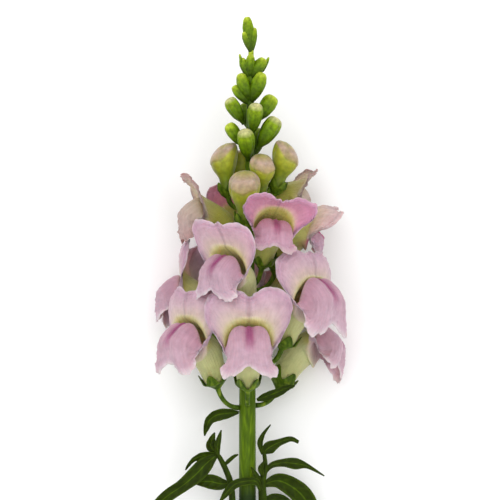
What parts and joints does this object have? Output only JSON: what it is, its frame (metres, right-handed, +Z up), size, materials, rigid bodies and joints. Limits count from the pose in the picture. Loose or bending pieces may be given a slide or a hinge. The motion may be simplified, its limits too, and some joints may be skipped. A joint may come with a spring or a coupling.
{
  "type": "snapdragon stem",
  "caption": "Cut snapdragon stem lying down: a spike of two-lipped pink flowers, tan and green buds above them and narrow leaves on the bare stem below.",
  "frame": {"origin": "on the surface the stem lies on, under the centre of its bounding box", "axes": "+Z up from the surface; +Y along the stem from the cut end to the tip of the spike; +X to the right seen from above"},
  "size_m": [0.0919, 0.2762, 0.0716],
  "materials": {
    "petal_pink": "satin",
    "petal_cream": "satin",
    "bud_tan": "satin",
    "calyx_green": "satin",
    "bud_green": "satin",
    "stem_green": "satin",
    "leaf_green": "satin"
  },
  "bodies": {
    "root": {"bloom_back_high_calyx": "calyx_green", "bloom_back_high_corolla": "petal_pink", "bloom_back_left_calyx": "calyx_green", "bloom_back_left_corolla": "petal_pink", "bloom_back_right_calyx": "calyx_green", "bloom_back_right_corolla": "petal_pink", "bloom_front_high_calyx": "calyx_green", "bloom_front_high_corolla": "petal_cream", "bloom_front_low_calyx": "calyx_green", "bloom_front_low_corolla": "petal_pink", "bloom_left_high_calyx": "calyx_green", "bloom_left_high_corolla": "petal_cream", "bloom_left_low_calyx": "calyx_green", "bloom_left_low_corolla": "petal_pink", "bloom_left_mid_calyx": "calyx_green", "bloom_left_mid_corolla": "petal_pink", "bloom_left_side_low_calyx": "calyx_green", "bloom_left_side_low_corolla": "petal_pink", "bloom_right_high_calyx": "calyx_green", "bloom_right_high_corolla": "petal_cream", "bloom_right_low_calyx": "calyx_green", "bloom_right_low_corolla": "petal_pink", "bloom_right_mid_calyx": "calyx_green", "bloom_right_mid_corolla": "petal_pink", "bloom_right_top_calyx": "calyx_green", "bloom_right_top_corolla": "petal_pink", "bud_back_calyx": "calyx_green", "bud_back_lower": "bud_green", "bud_back_petals": "bud_tan", "bud_back_upper": "bud_green", "bud_cluster_tip": "bud_green", "bud_front_left_calyx": "calyx_green", "bud_front_left_petals": "bud_tan", "bud_front_lower": "bud_green", "bud_front_right_calyx": "calyx_green", "bud_front_right_petals": "bud_tan", "bud_front_upper": "bud_green", "bud_left_calyx": "calyx_green", "bud_left_lower": "bud_green", "bud_left_petals": "bud_tan", "bud_left_upper": "bud_green", "bud_right_calyx": "calyx_green", "bud_right_lower": "bud_green", "bud_right_petals": "bud_tan", "bud_right_upper": "bud_green", "leaf_left": "leaf_green", "leaf_right": "leaf_green", "side_shoot_left": "leaf_green", "side_shoot_right": "leaf_green", "stem": "stem_green"}
  },
  "joints": []
}
